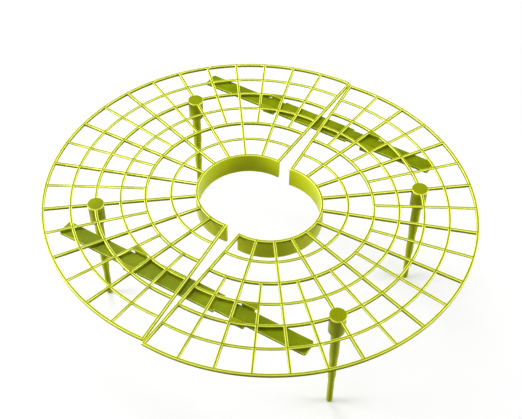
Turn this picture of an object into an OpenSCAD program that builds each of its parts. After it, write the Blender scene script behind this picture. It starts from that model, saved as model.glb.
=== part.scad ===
// A plant support ring that stands in or on a flower pot. Two half-disc grids of
// moulded ribs meet along a seam round a stem opening. Each half stands on two
// plug-in stakes, and two flat bars pushed through guide loops under the grids
// hold the halves together. The seam runs along Y, and the halves lie at -X and +X.
// The bars are loose in their loops, so the halves have slipped a little along the seam.

/* [Ring] */
// Outside diameter of the rim
rim_d = 301; // [270:1:340]
// Outside diameter of the collar round the stem opening
collar_d = 78.8; // [64:0.2:96]
// Height of the grid's top face above the ground
top_h = 100; // [70:1:150]
// Clear gap between the two rims where the halves meet
seam_gap = 0.3; // [0.3:0.1:3]
// How far each seam edge leans back from the middle plane, in degrees
seam_angle = 2.7; // [0:0.1:4]
// How far each half has slipped along the seam, the right one towards -Y
seam_slip = 1.4; // [0:0.1:1.5]

/* [Ribs] */
// Width of every rib
rib_w = 2; // [1:0.1:2.6]
// Depth of the main ribs: every second ring, every second spoke and the seam edges
main_rib_h = 2.2; // [1.6:0.1:4]
// Depth of the light ribs between them
light_rib_h = 1.2; // [0.8:0.1:1.5]
// Spacing of the rings inside the start of the light spokes, as a share of even spacing
inner_ring_share = 1.01; // [0.94:0.01:1.06]
// Spacing of the rings outside it, up to the outermost light ring
outer_ring_share = 0.97; // [0.94:0.01:1.06]
// Depth of the collar wall below the grid's top face
collar_h = 16.5; // [8:0.5:30]
// Thickness of the collar wall
collar_wall = 2; // [1:0.1:2.6]

/* [Stakes] */
// Diameter of a stake at its top, where it plugs into a socket
stake_d = 6.8; // [5:0.1:8]
// Diameter of a stake's middle length
stake_mid_d = 5.8; // [4.2:0.1:7]
// Diameter of a stake's lower length
stake_low_d = 4.7; // [3:0.1:6]
// Where the middle length starts, below the grid's top face
stake_step_1 = 43; // [25:1:50]
// Where the lower length starts, below the grid's top face
stake_step_2 = 68; // [58:1:70]
// Height of the cone at each step
stake_cone_h = 6; // [2:0.5:8]
// Diameter of the flat at a stake's foot
foot_d = 2.4; // [1:0.1:2.8]
// Bevel round the top of a stake
stake_bevel = 0.8; // [0.2:0.1:1.5]

/* [Sockets] */
// Diameter of the disc that closes a socket on the grid's top
socket_disc_d = 12.2; // [11:0.1:16]
// Rounding of a disc's top edge
disc_round = 0.4; // [0.1:0.1:0.7]
// Diameter of the socket below the disc
socket_d = 11.6; // [10.5:0.1:15]
// Depth of a socket below the grid's top face
socket_h = 18; // [12:0.5:24]
// Thickness of the roof that closes a socket
socket_roof = 2.2; // [1.2:0.1:4]
// Rounding of a socket's lower edge
socket_round = 1.8; // [0.4:0.1:2]
// Radial clearance between a stake and its socket
stake_clear = 0.05; // [0.02:0.01:0.1]
// Space left above a seated stake
stake_end_clear = 0.2; // [0.1:0.1:0.8]

/* [Bars] */
// Length of a bar
bar_l = 200; // [170:1:230]
// Width of a bar where it slides in its guide loops
bar_w = 12.4; // [8:0.1:13]
// Thickness of a bar
bar_t = 2; // [1.4:0.1:3.5]
// Length of the wide middle that stops against the guide loops
bar_mid_l = 62.2; // [40:0.1:64]
// How far the wide middle stands out on each side
bar_shoulder = 1.6; // [1.2:0.1:2.2]
// Bevel at the corners of a bar's ends
bar_bevel = 1.2; // [0.3:0.1:3]
// Space between the front bar's wide middle and the left guide loop, where the bar rests
front_stop_gap = 2; // [0.5:0.1:6]
// The same space at the back bar
back_stop_gap = 3.4; // [0.5:0.1:6]

/* [Guide loops] */
// Middle of a guide loop, measured from the seam along X
guide_x = 43.6; // [41:0.1:48]
// Length of a guide loop along the bar
guide_l = 9.4; // [6:0.2:12]
// Thickness of a loop's two side walls
guide_wall = 1.4; // [1:0.1:2.4]
// Thickness of a loop's floor
guide_floor = 1.8; // [1:0.1:3]
// Rounding of a loop's outer lower corners
guide_round = 1; // [0.4:0.1:1]
// Clearance at each side of a bar in its loop
bar_side_clear = 0.5; // [0.3:0.1:1]
// Clearance under a bar in its loop
bar_floor_clear = 0.3; // [0.2:0.1:1]
// Clearance between a bar and the main ribs above it
bar_top_clear = 0.4; // [0.2:0.1:1]

/* [Hidden] */

ring_steps = 6;                            // rib spacings from the collar to the rim
bays = 20;                                 // spoke spacings from seam edge to seam edge
socket_ring = 4;                           // ring that carries the sockets
socket_bay = 4;                            // spokes from the middle of a half to a socket
light_spoke_ring = 2;                      // ring where the light spokes start
guide_ring = 3;                            // ring just inside the guide loops
guide_bay = 7;                             // spokes from the middle of a half to a loop's bay

collar_r = (collar_d - rib_w) / 2;         // centre line of the innermost ring
rim_r = (rim_d - rib_w) / 2;               // centre line of the outermost ring
ring_step = (rim_r - collar_r) / ring_steps;
function ring_r(i) = i == ring_steps ? rim_r : collar_r + ring_step
    * (inner_ring_share * min(i, light_spoke_ring) + outer_ring_share * max(i - light_spoke_ring, 0));
bay_angle = (180 + 2 * seam_angle) / bays;
function spoke_angle(k) = (k - bays / 2) * bay_angle;
seam_edge = 90 + seam_angle;               // direction of a seam edge from a half's middle

// The ring centre of a half lies off the seam, so that the rims clear by seam_gap.
ring_shift = seam_gap / 2 + rib_w / cos(seam_angle) + tan(seam_angle) * rim_d / 2;

bore_r = stake_d / 2 + stake_clear;
socket_angle = socket_bay * bay_angle;
socket_x = ring_shift + ring_r(socket_ring) * cos(socket_angle);
socket_y = ring_r(socket_ring) * sin(socket_angle);
stake_top = top_h - socket_roof - stake_end_clear;
foot_round = (stake_low_d - foot_d) / 2;

// The loops sit midway between the two rings outside and inside the bars.
guide_r = (ring_r(guide_ring) + ring_r(guide_ring + 1)) / 2;
bar_y = sqrt(pow(guide_r, 2) - pow(guide_x - ring_shift, 2));
function bar_rest_x(stop_gap) = stop_gap + bar_mid_l / 2 - (guide_x - guide_l / 2);
bar_yaw = -atan(seam_slip / guide_x);      // the bars turn to follow the slipped loops
bar_top = top_h - main_rib_h - bar_top_clear;
loop_w = bar_w + 2 * bar_side_clear;       // clear width inside a loop
loop_floor_top = bar_top - bar_t - bar_floor_clear;
loop_h = top_h - loop_floor_top + guide_floor;

lime = [0.66, 0.74, 0.08];
olive = [0.50, 0.56, 0.05];
arc_fn = 180;
round_fn = 48;

// ---- Plan of a half, with its ring centre at the origin ----

// Sector of more than half a turn that opens towards +X, with its tip at x = tip.
module sector(tip) {
    reach = rim_d;
    edge = reach * [cos(seam_edge), sin(seam_edge)];
    translate([tip, 0]) polygon([[0, 0], edge, [reach, edge[1]], [reach, -edge[1]], [edge[0], -edge[1]]]);
}

// A half's whole plan area, out to the far side of its two seam ribs.
module half_plan() intersection() {
    circle(d = rim_d, $fn = arc_fn);
    sector(-rib_w / cos(seam_angle));
}

// The ribs along the two seam edges, from the collar to the rim.
module seam_ribs() difference() {
    half_plan();
    sector(0);
    circle(collar_r, $fn = arc_fn);
}

module ring_band(r, w) difference() {
    circle(r + w / 2, $fn = arc_fn);
    circle(r - w / 2, $fn = arc_fn);
}

module spoke(k, from_r) rotate(spoke_angle(k)) translate([from_r, -rib_w / 2])
    square([rim_r - from_r, rib_w]);

module main_ribs() intersection() {
    half_plan();
    union() {
        for (i = [0 : 2 : ring_steps]) ring_band(ring_r(i), rib_w);
        for (k = [2 : 2 : bays - 2]) spoke(k, collar_r);
        seam_ribs();
    }
}

module light_ribs() intersection() {
    half_plan();
    union() {
        for (i = [1 : 2 : ring_steps]) ring_band(ring_r(i), rib_w);
        for (k = [1 : 2 : bays - 1]) spoke(k, ring_r(light_spoke_ring));
    }
}

module collar_band() intersection() {
    half_plan();
    ring_band((collar_d - collar_wall) / 2, collar_wall);
}

// ---- What hangs under the grid ----

// Turned outline of a closed socket, its top face at height 0.
module socket_outline() difference() {
    union() {
        translate([0, -light_rib_h]) square([socket_disc_d / 2, light_rib_h - disc_round]);
        translate([0, -disc_round]) square([socket_disc_d / 2 - disc_round, disc_round]);
        translate([socket_disc_d / 2 - disc_round, -disc_round]) circle(disc_round, $fn = round_fn);
        translate([0, -socket_h + socket_round]) square([socket_d / 2, socket_h - socket_round]);
        translate([0, -socket_h]) square([socket_d / 2 - socket_round, socket_round]);
        translate([socket_d / 2 - socket_round, -socket_h + socket_round])
            circle(socket_round, $fn = round_fn);
    }
    translate([0, -socket_h - 1]) square([bore_r, socket_h + 1 - socket_roof]);
}

module socket() rotate_extrude($fn = round_fn) socket_outline();

// Cross-section of a guide loop, looking along the bar, its top at height 0.
module loop_section() {
    outer_w = loop_w + 2 * guide_wall;
    difference() {
        union() {
            translate([-outer_w / 2, -loop_h + guide_round]) square([outer_w, loop_h - guide_round]);
            translate([-outer_w / 2 + guide_round, -loop_h]) square([outer_w - 2 * guide_round, loop_h]);
            for (side = [-1, 1]) translate([side * (outer_w / 2 - guide_round), -loop_h + guide_round])
                circle(guide_round, $fn = round_fn);
        }
        translate([-loop_w / 2, -loop_h + guide_floor]) square([loop_w, loop_h + 1]);
    }
}

// Webs from spoke to spoke that close the grid between a loop's straight walls and the rings.
module loop_webs() intersection() {
    polygon([[0, 0], for (k = [0, 1]) rim_d * [cos((guide_bay + k) * bay_angle),
                                               sin((guide_bay + k) * bay_angle)]]);
    difference() {
        circle(ring_r(guide_ring + 1), $fn = arc_fn);
        circle(ring_r(guide_ring), $fn = arc_fn);
        translate([0, bar_y - loop_w / 2]) square([rim_d, loop_w]);
    }
}

module guide_loop() {
    translate([guide_x - ring_shift - guide_l / 2, bar_y, top_h])
        rotate([90, 0, 90]) linear_extrude(guide_l) loop_section();
    translate([0, 0, top_h - light_rib_h]) linear_extrude(light_rib_h) loop_webs();
}

// ---- The pieces ----

// One moulding: grid, collar wall, two closed sockets and two guide loops.
module half_grid() translate([ring_shift, -seam_slip, 0]) {
    difference() {
        union() {
            translate([0, 0, top_h - main_rib_h]) linear_extrude(main_rib_h) main_ribs();
            translate([0, 0, top_h - light_rib_h]) linear_extrude(light_rib_h) light_ribs();
            translate([0, 0, top_h - collar_h]) linear_extrude(collar_h) collar_band();
            for (side = [-1, 1]) {
                translate([socket_x - ring_shift, side * socket_y, top_h]) socket();
                mirror([0, side < 0 ? 1 : 0, 0]) guide_loop();
            }
        }
        for (side = [-1, 1])
            translate([socket_x - ring_shift, side * socket_y, top_h - socket_h - 1])
                cylinder(r = bore_r, h = socket_h + 1 - socket_roof, $fn = round_fn);
    }
}

module left_half_grid() color(lime) rotate([0, 0, 180]) half_grid();
module right_half_grid() color(lime) half_grid();

// Outline of a flat bar with a wide middle, centred on the origin.
module bar_outline() {
    e = bar_l / 2;
    h = bar_w / 2;
    b = bar_bevel;
    polygon([[-e, -h + b], [-e + b, -h], [e - b, -h], [e, -h + b],
             [e, h - b], [e - b, h], [-e + b, h], [-e, h - b]]);
    square([bar_mid_l, bar_w + 2 * bar_shoulder], center = true);
}

module bar(y, stop_gap) color(olive) translate([0, y, bar_top - bar_t]) rotate(bar_yaw)
    translate([bar_rest_x(stop_gap), 0, 0]) linear_extrude(bar_t) bar_outline();

module front_bar() bar(-bar_y, front_stop_gap);
module back_bar() bar(bar_y, back_stop_gap);

// Stepped stake, turned round its own axis, with its flat foot on the ground.
module stake() {
    step_1 = top_h - stake_step_1;
    step_2 = top_h - stake_step_2;
    rotate_extrude($fn = round_fn) {
        polygon([[0, 0], [foot_d / 2, 0], [stake_low_d / 2, foot_round],
                 [stake_low_d / 2, step_2 - stake_cone_h], [stake_mid_d / 2, step_2],
                 [stake_mid_d / 2, step_1 - stake_cone_h], [stake_d / 2, step_1],
                 [stake_d / 2, stake_top - stake_bevel],
                 [stake_d / 2 - stake_bevel, stake_top], [0, stake_top]]);
        intersection() {
            translate([foot_d / 2, foot_round]) circle(foot_round, $fn = round_fn);
            square([stake_low_d, stake_low_d]);
        }
    }
}

module stake_at(side, depth) color(olive)
    translate([side * socket_x, depth * socket_y - side * seam_slip, 0]) stake();

module front_left_stake() stake_at(-1, -1);
module front_right_stake() stake_at(1, -1);
module back_left_stake() stake_at(-1, 1);
module back_right_stake() stake_at(1, 1);

left_half_grid();
right_half_grid();
front_bar();
back_bar();
front_left_stake();
front_right_stake();
back_left_stake();
back_right_stake();
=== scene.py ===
import bmesh
import bpy
import numpy as np
from mathutils import Matrix, Vector


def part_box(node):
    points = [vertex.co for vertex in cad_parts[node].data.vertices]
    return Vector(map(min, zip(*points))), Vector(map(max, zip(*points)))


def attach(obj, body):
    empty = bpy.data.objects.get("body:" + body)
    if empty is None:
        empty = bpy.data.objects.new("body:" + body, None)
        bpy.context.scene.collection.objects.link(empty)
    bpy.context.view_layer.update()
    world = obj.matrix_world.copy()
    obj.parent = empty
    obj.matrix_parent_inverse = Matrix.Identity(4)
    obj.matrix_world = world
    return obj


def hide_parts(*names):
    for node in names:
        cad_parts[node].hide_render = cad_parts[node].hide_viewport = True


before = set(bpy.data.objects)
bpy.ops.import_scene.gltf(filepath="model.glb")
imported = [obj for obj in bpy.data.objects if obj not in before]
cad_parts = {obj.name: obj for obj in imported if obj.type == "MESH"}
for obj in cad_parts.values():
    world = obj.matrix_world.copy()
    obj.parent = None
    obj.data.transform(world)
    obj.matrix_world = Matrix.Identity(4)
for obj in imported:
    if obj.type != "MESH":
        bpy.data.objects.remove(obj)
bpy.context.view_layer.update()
print("frame loaded:", len(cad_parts), "moulded parts")

# The camera stands in front of the ring's right side and looks down over it
cameraSetup = {
    "azimuth": 29.197,              # degrees round the ring, 0 looks along +Y
    "elevation": 46.034,            # degrees above the ground
    "roll": 0.659,                  # degrees
    "aim": (0.00787, -0.01135),     # where the middle of the frame meets the grid's top
    "distance": 0.702266,           # metres from there to the lens
    "lens": 67.433, "sensor": 36.0,     # mm
    "nearest": 0.01,                # metres, nothing nearer to the lens is seen
}


def placeCamera(setup, height):
    # a camera on a sphere round the aim point: back = (sin a cos e, -cos a cos e, sin e)
    a, e, r = np.radians([setup["azimuth"], setup["elevation"], setup["roll"]])
    back = Vector((np.sin(a) * np.cos(e), -np.cos(a) * np.cos(e), np.sin(e)))
    right = Vector((np.cos(a), np.sin(a), 0.0))
    up = back.cross(right)
    turned = np.cos(r) * right + np.sin(r) * up
    raised = np.cos(r) * up - np.sin(r) * right
    spot = Vector((*setup["aim"], height)) + setup["distance"] * back
    data = bpy.data.cameras.new("studioCamera")
    data.lens, data.sensor_width = setup["lens"], setup["sensor"]
    data.clip_start = setup["nearest"]
    data.dof.use_dof = False
    cam = bpy.data.objects.new("studioCamera", data)
    bpy.context.scene.collection.objects.link(cam)
    facing = Matrix((turned, raised, back)).transposed().to_4x4()
    cam.matrix_world = Matrix.Translation(spot) @ facing
    bpy.context.scene.camera = cam


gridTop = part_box("left_half_grid")[1].z
placeCamera(cameraSetup, gridTop)

surfaces = {
    "mergeWithin": 1e-7,            # metres, points this near to each other are one
    "sharpAngle": np.radians(32),   # edges that turn by more stay sharp or are rounded
    "levelTop": 0.99,               # a face whose normal rises by more looks straight up
    "edgeSteps": 3,                 # flat strips that make up a rounded edge
}
# which of a piece's plastics a face has; the edge plastic is a painted highlight, and the collar
# wall and socket side plastics are painted light, paler copies of the skin
plasticFor = {"skin": 0, "edge": 1, "litCollarWall": 2, "litSocketSide": 3}


def outlineOfTop(mesh):
    # 1 for the edges that belong to just one of the faces that look straight up, 0 for the rest
    count = len(mesh.polygons)
    normals, corners = np.empty(3 * count), np.empty(count, int)
    mesh.polygons.foreach_get("normal", normals)
    mesh.polygons.foreach_get("loop_total", corners)
    edges = np.empty(len(mesh.loops), int)
    mesh.loops.foreach_get("edge_index", edges)
    looksUp = np.repeat(normals.reshape(-1, 3)[:, 2] > surfaces["levelTop"], corners)
    return (np.bincount(edges[looksUp], minlength=len(mesh.edges)) == 1).astype(float)


def joinShells(name, shells, edging, finish, body, replaced):
    # one mesh of shells (points, faces, plastic of each face), with its edges rounded where
    # the edging says so: only round the flat tops, or wherever the surface turns sharply
    points, faces, plastics, first = [], [], [], 0
    for shellPoints, shellFaces, shellPlastic in shells:
        points.append(np.asarray(shellPoints, float).reshape(-1, 3))
        faces += [[first + i for i in face] for face in shellFaces]
        plastics.append(np.broadcast_to(shellPlastic, len(shellFaces)))
        first += len(points[-1])
    mesh = bpy.data.meshes.new(name)
    mesh.from_pydata(np.concatenate(points).tolist(), [], faces)
    mesh.polygons.foreach_set("material_index", np.concatenate(plastics).astype(int))
    bm = bmesh.new()
    bm.from_mesh(mesh)
    bmesh.ops.remove_doubles(bm, verts=bm.verts, dist=surfaces["mergeWithin"])
    bm.to_mesh(mesh)
    bm.free()
    mesh.shade_smooth()
    mesh.set_sharp_from_angle(angle=surfaces["sharpAngle"])
    for plastic in finish["plastics"]:
        mesh.materials.append(plastic)
    piece = bpy.data.objects.new(name, mesh)
    bpy.context.scene.collection.objects.link(piece)
    if edging["edgeRadius"] > 0:
        bevel = piece.modifiers.new("edgeRadius", "BEVEL")
        bevel.width, bevel.segments = edging["edgeRadius"], surfaces["edgeSteps"]
        bevel.harden_normals = True
        # the rounded strips take the edge plastic, a painted highlight
        bevel.material = plasticFor["edge"]
        if edging["roundTopOnly"]:
            weight = mesh.attributes.new("bevel_weight_edge", "FLOAT", "EDGE")
            weight.data.foreach_set("value", outlineOfTop(mesh))
            bevel.limit_method = "WEIGHT"
        else:
            bevel.limit_method, bevel.angle_limit = "ANGLE", surfaces["sharpAngle"]
    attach(piece, body)
    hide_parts(replaced)


def blockSurface(points, filled):
    # the skin of the filled cells of a grid of blocks: a quad wherever a filled cell meets an
    # empty one, wound so that it looks out of the filled cell; points is (u, v, w, xyz)
    ids = np.arange(points[..., 0].size).reshape(points.shape[:3])
    quads = []
    for axis in range(3):
        cells = np.moveaxis(filled, axis, 0).astype(int)
        empty = np.zeros_like(cells[:1])
        step = np.diff(np.concatenate([empty, cells, empty]), axis=0)
        at = np.moveaxis(ids, axis, 0)
        quad = np.stack([at[:, :-1, :-1], at[:, 1:, :-1], at[:, 1:, 1:], at[:, :-1, 1:]], -1)
        outwards = -1 if axis != 1 else 1       # moving the middle axis first mirrors the order
        quads += [quad[step == outwards], quad[step == -outwards][:, ::-1]]
    quads = np.concatenate(quads)
    used, where = np.unique(quads, return_inverse=True)
    return points.reshape(-1, 3)[used], where.reshape(quads.shape).tolist()


def turnedSurface(profile, parts, centre, bands=()):
    # a profile of (radius, height) carried round the Z axis through centre: x = r cos t,
    # y = r sin t, z = h; the profile starts and ends on the axis, and each band of it
    # (first row, row after the last, plastic) has a plastic of its own
    r, h = np.asarray(profile, float).T[:, :, None]
    t = np.linspace(0, 2 * np.pi, parts + 1)[None, :]
    points = np.stack([r * np.cos(t), r * np.sin(t), h + 0 * t], -1) + np.asarray(centre)
    ids = np.arange(r.size * (parts + 1)).reshape(r.size, parts + 1)
    quads = np.stack([ids[:-1, :-1], ids[1:, :-1], ids[1:, 1:], ids[:-1, 1:]], -1)
    plastic = np.full(r.size - 1, plasticFor["skin"])
    for first, end, bandPlastic in bands:
        plastic[first:end] = plasticFor[bandPlastic]
    return points, quads.reshape(-1, 4).tolist(), np.repeat(plastic, parts)


def prism(outline, shift):
    # a flat outline and its copy moved by shift, with walls between; the outline runs
    # anticlockwise seen from the side that shift points to
    outline = np.asarray(outline, float)
    n = len(outline)
    low = np.arange(n)
    walls = np.stack([low, np.roll(low, -1), np.roll(low, -1) + n, low + n], -1)
    faces = walls.tolist() + [low[::-1].tolist(), (low + n).tolist()]
    return np.concatenate([outline, outline + np.asarray(shift)]), faces, plasticFor["skin"]


def arc(centre, radius, start, end, parts):
    # points centre + radius (cos t, sin t) for t from start to end, in degrees
    t = np.radians(np.linspace(start, end, parts + 1))
    return np.stack([centre[0] + radius * np.cos(t), centre[1] + radius * np.sin(t)], -1)


def setInputs(tree, node, inputs):
    # an input gets a link where its value is another node's output, and else a fixed value
    for socket, value in inputs.items():
        if isinstance(value, bpy.types.NodeSocket):
            tree.links.new(value, node.inputs[socket])
        else:
            node.inputs[socket].default_value = value


def addNode(tree, kind, inputs, **settings):
    # a new shader node with its settings and its inputs
    node = tree.nodes.new("ShaderNode" + kind)
    for name, value in settings.items():
        setattr(node, name, value)
    setInputs(tree, node, inputs)
    return node


def limePlastic(name, look):
    # glossy moulded plastic that light sinks into a little; a slow noise moves its colour from
    # deep to bright, and a fine noise its roughness and height
    mat = bpy.data.materials.new(name)
    mat.use_nodes = True
    tree = mat.node_tree
    place = addNode(tree, "TexCoord", {}).outputs["Object"]
    flow = addNode(tree, "TexNoise", {"Scale": look["flowScale"], "Detail": look["flowDetail"],
                                      "Vector": place})
    tone = addNode(tree, "ValToRGB", {"Fac": flow.outputs["Fac"]})
    for stop, at, colour in zip(tone.color_ramp.elements, look["toneSpan"],
                                (look["deep"], look["bright"])):
        stop.position, stop.color = at, (*colour, 1)
    skin = addNode(tree, "TexNoise", {"Scale": look["skinScale"], "Detail": look["skinDetail"],
                                      "Vector": place})
    gloss = addNode(tree, "MapRange", {"Value": skin.outputs["Fac"],
                                       "To Min": look["rough"][0], "To Max": look["rough"][1]})
    bump = addNode(tree, "Bump", {"Height": skin.outputs["Fac"], "Strength": look["bump"],
                                  "Distance": look["bumpHeight"]})
    setInputs(tree, tree.nodes["Principled BSDF"], {
        "Base Color": tone.outputs["Color"],
        "Roughness": gloss.outputs["Result"],
        "Normal": bump.outputs["Normal"],
        "IOR": look["ior"],
        "Specular IOR Level": look["shine"],
        "Subsurface Weight": look["glow"],
        "Subsurface Scale": look["glowDepth"],
        "Subsurface Radius": look["glowTint"],
    })
    return mat


gridLook = {
    "deep": (0.215, 0.255, 0.0005), "bright": (0.295, 0.35, 0.001),
    "toneSpan": (0.3, 0.7),                         # noise levels of the two tones
    "flowScale": 45.0, "flowDetail": 3.0,           # slow change of tone where the melt flowed
    "skinScale": 900.0, "skinDetail": 2.0,          # fine unevenness of the moulded skin
    "rough": (0.28, 0.40), "bump": 0.25, "bumpHeight": 0.00005,
    "ior": 1.49, "shine": 0.03,
    "glow": 0.03, "glowDepth": 0.0012, "glowTint": (1.0, 0.9, 0.25),    # light that sinks in
}
# painted shade: the bars, lying under the grid, are a darker copy of the grid's plastic
shadedBarLook = {**gridLook, "deep": (0.17, 0.22, 0.0005), "bright": (0.265, 0.335, 0.0005)}
stakeLook = {**gridLook, "deep": (0.35, 0.41, 0.001), "bright": (0.44, 0.51, 0.002),
             "shine": 0.06}
# painted light: the grid's upright faces are painted paler than its tops, a lit copy of the same
# plastic
litWallLook = {**gridLook, "deep": (0.48, 0.54, 0.001), "bright": (0.56, 0.63, 0.002),
            "shine": 0.10}
# painted light: the sockets' upright sides are painted paler than the grid's tops
litSocketLook = {**gridLook, "deep": (0.31, 0.355, 0.001), "bright": (0.38, 0.43, 0.002),
              "shine": 0.06}
# painted highlight: the thin rounded edges are painted brighter and yellower than the faces, for
# the light they catch and let through
gridEdgeHighlightLook = {**gridLook, "deep": (0.83, 0.89, 0.05), "bright": (0.91, 0.95, 0.08),
                "shine": 0.5}
# painted highlight for the rounded edges of the bars and the stakes
barEdgeHighlightLook = {**gridLook, "deep": (0.72, 0.79, 0.06), "bright": (0.80, 0.87, 0.09)}

# the plastics of a finish stand in the order of plasticFor
gridFinish = {"slot": "grid", "plastics": [limePlastic("limeGridSkin", gridLook),
                                           limePlastic("limeGridEdgeHighlight", gridEdgeHighlightLook),
                                           limePlastic("limeCollarWallPaintedLight", litWallLook),
                                           limePlastic("limeSocketSidePaintedLight", litSocketLook)]}
barFinish = {"slot": "bar", "plastics": [limePlastic("limeBarSkinPaintedShade", shadedBarLook),
                                         limePlastic("limeBarEdgeHighlight", barEdgeHighlightLook)]}
stakeFinish = {"slot": "stake", "plastics": [limePlastic("limeStakeSkin", stakeLook),
                                             limePlastic("limeStakeEdgeHighlight", barEdgeHighlightLook)]}
print("materials made")

half = {
    # the grid of rings and spokes, with the collar round the stem
    "rimDia": 0.301, "collarDia": 0.0788,
    "ringShares": (1.01, 1.01, 0.97, 0.97, 0.97),   # ring steps as shares of even ones, and
                                                    # the step to the rim takes the rest
    "bays": 20, "lightSpokeRing": 2,                # light spokes start at this ring
    "seamGap": 0.0003, "seamLean": 2.7,             # the lean is in degrees
    "slip": 0.0014,                                 # each half along the seam
    "ribWidth": 0.002, "mainDepth": 0.0022, "lightDepth": 0.0012, "collarDepth": 0.0165,
    "arcParts": 6,                                  # straight lengths of a rib in a bay
    "ribEdge": 0.00055,
    "layerStep": 0.00002,                           # so that no two flat tops share a plane
    # the sockets for the stakes
    "socketRing": 4, "socketBay": 4, "discDia": 0.0122, "discRound": 0.0004,
    "socketDia": 0.0116, "socketDepth": 0.018, "roof": 0.0022, "boreDia": 0.0069,
    "mouthRound": 0.0018, "socketParts": 64, "socketRoundParts": 6,
    # the loops for the bars, and the webs beside them
    "guideX": 0.0436, "guideLength": 0.0094, "guideWall": 0.0014, "guideFloor": 0.0018,
    "loopWidth": 0.0134, "loopFloorTop": 0.0049, "guideRound": 0.001, "guideRoundParts": 4,
    "guideRing": 3, "guideBay": 7, "webPoints": 9, "guideEdge": 0.0002,
}
ringStep = (half["rimDia"] - half["collarDia"]) / (2 * (len(half["ringShares"]) + 1))
half["ribRadii"] = (half["collarDia"] - half["ribWidth"]) / 2 + ringStep * np.cumsum(
    [0, *half["ringShares"], 0])
half["ribRadii"][-1] = (half["rimDia"] - half["ribWidth"]) / 2
half["seamEdge"] = 90 + half["seamLean"]
half["pitch"] = 2 * half["seamEdge"] / half["bays"]
half["shift"] = (half["seamGap"] / 2 + half["ribWidth"] / np.cos(np.radians(half["seamLean"]))
                 + np.tan(np.radians(half["seamLean"])) * half["rimDia"] / 2)
guideRadius = np.mean(half["ribRadii"][half["guideRing"]:half["guideRing"] + 2])
half["guideY"] = np.sqrt(guideRadius ** 2 - (half["guideX"] - half["shift"]) ** 2)


def ribLattice(h, top):
    # blocks on a polar grid: line u stands at the angle A(u) + B(u) asin(w / 2r), so that spokes
    # and seam ribs keep their width w at every radius r, and layer w goes down from the top
    lines = [(-h["seamEdge"], -2), (-h["seamEdge"], 0)]     # A and B of each line
    kinds = ["seam"]                    # what lies between a line and the next: a bay or a rib
    for spoke in range(1, h["bays"] + 1):
        isLast = spoke == h["bays"]
        start = lines[-1]
        target = (h["seamEdge"], 0) if isLast else (spoke * h["pitch"] - h["seamEdge"], -1)
        lines += [tuple(np.add(start, np.subtract(target, start) * (i + 1) / h["arcParts"]))
                  for i in range(h["arcParts"])]
        kinds += ["bay"] * h["arcParts"]
        lines.append((target[0], 2 if isLast else 1))
        kinds.append("seam" if isLast else "main" if spoke % 2 == 0 else "light")
    kinds = np.array(kinds)
    a, b = np.array(lines).T
    r = np.stack([h["ribRadii"] - h["ribWidth"] / 2, h["ribRadii"] + h["ribWidth"] / 2], -1).ravel()
    theta = np.radians(a)[:, None] + b[:, None] * np.arcsin(h["ribWidth"] / 2 / r)[None, :]
    z = top - np.array([0, h["lightDepth"], h["mainDepth"], h["collarDepth"]])
    x, y = h["shift"] + r * np.cos(theta), r * np.sin(theta)
    points = np.stack(np.broadcast_arrays(x[:, :, None], y[:, :, None], z[None, None, :]), -1)

    row = np.arange(len(r) - 1)[None, :]        # even rows are rings, odd ones lie between rings
    isRing, isMainRing, isCollar = row % 2 == 0, row % 4 == 0, row == 0
    isLight = (kinds == "light")[:, None]
    isMain = ((kinds == "main") | (kinds == "seam"))[:, None]
    shallow = isRing | isMain | (isLight & (row >= 2 * h["lightSpokeRing"]))
    deep = isMainRing | isMain
    collar = isCollar | np.zeros_like(isMain)
    points, faces = blockSurface(points, np.stack([shallow, deep, collar], -1))

    # the collar's faces are those on its inner side and those below the ribs; they take the paler,
    # painted-light plastic
    middle = points[np.array(faces)].mean(axis=1)
    isInside = np.hypot(middle[:, 0] - h["shift"], middle[:, 1]) < r[0] + h["ribWidth"] / 4
    isWall = isInside | (middle[:, 2] < top - h["mainDepth"])
    return points, faces, np.where(isWall, plasticFor["litCollarWall"], plasticFor["skin"])


def socketSpot(h):
    # where a main spoke crosses the socket ring, seen from the seam: (shift + r cos a, r sin a)
    a, r = np.radians(h["socketBay"] * h["pitch"]), h["ribRadii"][h["socketRing"]]
    return h["shift"] + r * np.cos(a), r * np.sin(a)


def socketShell(h, top, side):
    # closed disc on top, a boss below it and a blind bore for the stake, all turned
    disc, boss, bore = h["discDia"] / 2, h["socketDia"] / 2, h["boreDia"] / 2
    low, parts = top - h["socketDepth"], h["socketRoundParts"]
    lip, mouth = h["discRound"], h["mouthRound"]
    discCurve = arc((disc - lip, top - lip), lip, 90, 0, parts)
    mouthCurve = arc((boss - mouth, low + mouth), mouth, 0, -90, parts)
    profile = [(0, top), *discCurve, (disc, top - h["lightDepth"]),
               (boss, top - h["lightDepth"]), *mouthCurve, (bore, low),
               (bore, top - h["roof"]), (0, top - h["roof"])]
    edgeStart, edgeEnd = 2, 1 + len(discCurve)      # the curve's first strip looks like the top
    bossStart, bossEnd = edgeEnd + 1, edgeEnd + 2 + len(mouthCurve)
    x, y = socketSpot(h)
    # the disc's rounded lip takes the painted highlight, and the boss's side the paler plastic,
    # painted light
    return turnedSurface(profile, h["socketParts"], (x, side * y, 0),
                         bands=((edgeStart, edgeEnd, "edge"), (bossStart, bossEnd, "litSocketSide")))


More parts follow.
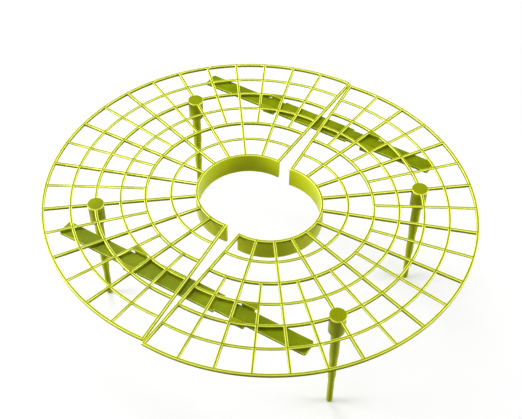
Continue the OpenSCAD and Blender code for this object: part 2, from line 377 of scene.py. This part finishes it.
def guideShells(h, top, side):
    # a U under the grid that the bar slides in, and two webs that run from spoke to spoke between
    # a ring and the U's straight wall: r = ring radius on one side, r = y / sin t on the other
    gap, corner, parts = h["loopWidth"] / 2, h["guideRound"], h["guideRoundParts"]
    floor, bottom = -h["loopFloorTop"], -h["loopFloorTop"] - h["guideFloor"]
    near, far = -gap - h["guideWall"], gap + h["guideWall"]
    section = np.concatenate([
        [(near, 0)], arc((near + corner, bottom + corner), corner, 180, 270, parts),
        arc((far - corner, bottom + corner), corner, 270, 360, parts),
        [(far, 0), (gap, 0), (gap, floor), (-gap, floor), (-gap, 0)]])
    outline = np.stack([np.full(len(section), h["guideX"] - h["guideLength"] / 2),
                        h["guideY"] + section[:, 0], top - h["layerStep"] + section[:, 1]], -1)
    shells = [prism(outline, (h["guideLength"], 0, 0))]

    inner, outer = h["ribRadii"][h["guideRing"]:h["guideRing"] + 2]
    low, high = np.radians([h["guideBay"] * h["pitch"], (h["guideBay"] + 1) * h["pitch"]])
    nearLine, farLine = h["guideY"] - gap + h["layerStep"], h["guideY"] + gap - h["layerStep"]
    for ring, line, start, end in (
            (inner, nearLine, low, min(high, np.arcsin(nearLine / inner))),
            (outer, farLine, max(low, np.arcsin(farLine / outer)), high)):
        t = np.linspace(start, end, h["webPoints"])
        radii = [np.full(len(t), ring), line / np.sin(t)]
        if radii[0].sum() < radii[1].sum():
            radii = radii[::-1]
        edge = np.concatenate([radii[0], radii[1][::-1]])
        turn = np.concatenate([t, t[::-1]])
        step = np.abs(edge - np.roll(edge, 1)) + np.abs(turn - np.roll(turn, 1))
        keep = step > surfaces["mergeWithin"]       # the two sides may meet in one point
        flat = np.stack([h["shift"] + edge * np.cos(turn), edge * np.sin(turn)], -1)[keep]
        web = np.column_stack([flat, np.full(len(flat), top - h["lightDepth"])])
        shells.append(prism(web, (0, 0, h["lightDepth"])))
    if side < 0:
        shells = [(points * (1, -1, 1), [face[::-1] for face in faces], plastic)
                  for points, faces, plastic in shells]
    return shells


def makeHalf(h, name, node, body, turn):
    # turn is 1 for the right half and -1 for the left one, the same moulding turned half round
    ribs = [ribLattice(h, gridTop - h["layerStep"])]
    sockets = [socketShell(h, gridTop, side) for side in (-1, 1)]
    guides = [shell for side in (-1, 1)
              for shell in guideShells(h, gridTop - 2 * h["layerStep"], side)]
    for part, shells, edgeRadius, roundTopOnly in (("Ribs", ribs, h["ribEdge"], True),
                                                   ("Sockets", sockets, 0, False),
                                                   ("Guides", guides, h["guideEdge"], False)):
        placed = [((points.reshape(-1, 3) - (0, h["slip"], 0)) * (turn, turn, 1), faces, plastic)
                  for points, faces, plastic in shells]
        joinShells(name + part, placed, {"edgeRadius": edgeRadius, "roundTopOnly": roundTopOnly},
                   gridFinish, body, node)


makeHalf(half, "rightHalf", "right_half_grid", "right_half", 1)
makeHalf(half, "leftHalf", "left_half_grid", "left_half", -1)
print("half mouldings made")

bar = {
    "length": 0.200, "width": 0.0124, "wideLength": 0.0622, "wideWidth": 0.0156,
    "cornerCut": 0.0012, "edgeRadius": 0.0003, "roundTopOnly": False,
    "restX": {"front_bar": -0.0058, "back_bar": -0.0044},
    "yaw": -np.arctan2(half["slip"], half["guideX"]),    # it follows the slipped loops
}


def makeBar(b, name, node):
    # a quarter of the outline mirrored twice, then turned by the yaw a and moved to its loops:
    # (x cos a - y sin a, x sin a + y cos a)
    low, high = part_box(node)
    side = 1 if low.y > 0 else -1
    end, mid = b["length"] / 2, b["wideLength"] / 2
    narrow, wide, cut = b["width"] / 2, b["wideWidth"] / 2, b["cornerCut"]
    quarter = np.array([(end, narrow - cut), (end - cut, narrow), (mid, narrow), (mid, wide)])
    upper = np.concatenate([quarter, quarter[::-1] * (-1, 1)])
    flat = np.concatenate([upper, upper[::-1] * (1, -1)])
    c, s = np.cos(b["yaw"]), np.sin(b["yaw"])
    flat = (flat + (b["restX"][node], 0)) @ np.array([(c, s), (-s, c)]) + (0, side * half["guideY"])
    outline = np.column_stack([flat, np.full(len(flat), low.z)])
    joinShells(name, [prism(outline, (0, 0, high.z - low.z))], b, barFinish, node, node)


for node, name in (("front_bar", "frontBar"), ("back_bar", "backBar")):
    makeBar(bar, name, node)
print("bars made")

stake = {
    "footDia": 0.0024, "lowDia": 0.0047, "midDia": 0.0058, "topDia": 0.0068,    # from the foot up
    "stepLow": 0.032, "stepHigh": 0.057,        # heights above the ground where it gets thicker
    "coneHeight": 0.006, "bevel": 0.0008, "parts": 48, "footParts": 6,
    "edgeRadius": 0.00025, "roundTopOnly": False,
}


def makeStake(s, name, node):
    # a stepped profile with a cone below each step, turned round the middle of its socket
    low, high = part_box(node)
    thin, middling, thick = s["lowDia"] / 2, s["midDia"] / 2, s["topDia"] / 2
    foot = (s["lowDia"] - s["footDia"]) / 2
    footCurve = arc((s["footDia"] / 2, foot), foot, 0, -90, s["footParts"])
    profile = [(0, high.z), (thick - s["bevel"], high.z), (thick, high.z - s["bevel"]),
               (thick, s["stepHigh"]), (middling, s["stepHigh"] - s["coneHeight"]),
               (middling, s["stepLow"]), (thin, s["stepLow"] - s["coneHeight"]),
               *footCurve, (0, 0)]
    sx, sy = np.sign(low.x), np.sign(low.y)
    x, y = socketSpot(half)
    centre = (sx * x, sy * y - sx * half["slip"], 0)
    joinShells(name, [turnedSurface(profile, s["parts"], centre)], s, stakeFinish, node, node)


for depth in ("front", "back"):
    for side in ("left", "right"):
        makeStake(stake, depth + side.capitalize() + "Stake", f"{depth}_{side}_stake")
print("stakes made")

studio = {
    "floorSize": 6.0,
    "floorTone": 0.3, "seenFloorTone": 0.93,    # as it lights the object, and as it is seen
    "shadowShare": 0.42,                        # how much of the shadow is seen
    "shadowReach": (0.17, 0.33),                # it fades out between these radii
    "footShadow": (-0.01, 0.045),               # more of it is seen up to this far from a foot
    "skyLow": 0.22, "skyHigh": 0.58,            # strength of the sky's dim and bright sides
    "skyLean": (-0.34, 0.61, 0.71),             # towards the bright one, up behind the ring
    "skyLowAt": -0.7,                           # cosine of the angle from there to the dim one
    "lamps": [                                  # place, size and power of the soft lamps
        ((-0.46, 0.29, 0.88), 0.3, 3.9),
        ((-1.05, -0.59, 0.36), 0.6, 19.0),
        ((1.05, 0.59, 0.36), 0.6, 12.0),
    ],
}
white = (1, 1, 1, 1)


def seenRay(tree):
    # 1 for rays from the lens, mirrored or bent ones too, and 0 for the light on the object
    path = addNode(tree, "LightPath", {})
    seen = path.outputs["Is Camera Ray"]
    for kind in ("Is Glossy Ray", "Is Transmission Ray"):
        larger = addNode(tree, "Math", {0: seen, 1: path.outputs[kind]}, operation="MAXIMUM")
        seen = larger.outputs[0]
    return seen


def makeFloor(s):
    # a matte floor that takes the shadow, mixed with plain white for the rays that are seen:
    # white share = seen * (how far out from the middle) * (how far from the nearest foot)
    size = s["floorSize"] / 2
    mesh = bpy.data.meshes.new("studioFloor")
    mesh.from_pydata([(-size, -size, 0), (size, -size, 0), (size, size, 0), (-size, size, 0)], [],
                     [(0, 1, 2, 3)])
    floor = bpy.data.objects.new("studioFloor", mesh)
    bpy.context.scene.collection.objects.link(floor)
    mat = bpy.data.materials.new("paleFloor")
    mat.use_nodes = True
    tree = mat.node_tree
    tree.nodes.remove(tree.nodes["Principled BSDF"])
    seen = seenRay(tree)
    tone = addNode(tree, "MapRange", {"Value": seen, "To Min": s["floorTone"],
                                      "To Max": s["seenFloorTone"]})
    matte = addNode(tree, "BsdfDiffuse", {"Color": tone.outputs["Result"]})
    plain = addNode(tree, "Emission", {"Color": white, "Strength": 1.0})

    place = addNode(tree, "TexCoord", {}).outputs["Object"]
    radius = addNode(tree, "VectorMath", {0: place}, operation="LENGTH")
    outwards = addNode(tree, "MapRange", {
        "Value": radius.outputs["Value"], "From Min": s["shadowReach"][0],
        "From Max": s["shadowReach"][1], "To Min": 1 - s["shadowShare"], "To Max": 1})
    folded = addNode(tree, "VectorMath", {0: place}, operation="ABSOLUTE")  # all feet on one spot
    toFoot = addNode(tree, "VectorMath", {0: folded.outputs["Vector"], 1: (*socketSpot(half), 0)},
                     operation="DISTANCE")
    fromFoot = addNode(tree, "MapRange", {
        "Value": toFoot.outputs["Value"], "From Min": s["footShadow"][0],
        "From Max": s["footShadow"][1]}, interpolation_type="SMOOTHSTEP")
    share = seen
    for part in (outwards, fromFoot):
        product = addNode(tree, "Math", {0: share, 1: part.outputs["Result"]},
                          operation="MULTIPLY")
        share = product.outputs[0]
    mix = addNode(tree, "MixShader", {"Fac": share, 1: matte.outputs[0], 2: plain.outputs[0]})
    setInputs(tree, tree.nodes["Material Output"], {"Surface": mix.outputs[0]})
    mesh.materials.append(mat)


def makeSky(s):
    # plain white to the lens, and to the object a soft sky: the strength follows the cosine of
    # the angle to skyLean
    world = bpy.data.worlds.new("studioSky")
    bpy.context.scene.world = world
    world.use_nodes = True
    tree = world.node_tree
    place = addNode(tree, "TexCoord", {}).outputs["Generated"]
    towards = addNode(tree, "VectorMath", {0: place, 1: s["skyLean"]}, operation="DOT_PRODUCT")
    fade = addNode(tree, "MapRange", {"Value": towards.outputs["Value"],
                                      "From Min": s["skyLowAt"],
                                      "To Min": s["skyLow"], "To Max": s["skyHigh"]})
    pick = addNode(tree, "Mix", {"Factor": seenRay(tree), "A": fade.outputs["Result"], "B": 1.0})
    setInputs(tree, tree.nodes["Background"], {"Strength": pick.outputs["Result"],
                                               "Color": white})


def makeLamps(s):
    # square lamps, each turned towards the middle of the grid
    for i, (spot, size, power) in enumerate(s["lamps"]):
        data = bpy.data.lights.new(f"softLamp{i}", "AREA")
        data.energy, data.size, data.shape = power, size, "SQUARE"
        lamp = bpy.data.objects.new(data.name, data)
        bpy.context.scene.collection.objects.link(lamp)
        aim = Vector((0, 0, gridTop)) - Vector(spot)
        lamp.location, lamp.rotation_euler = spot, aim.to_track_quat("-Z", "Y").to_euler()


makeFloor(studio)
makeSky(studio)
makeLamps(studio)
bpy.context.scene.view_settings.view_transform = "Standard"
print("studio made")
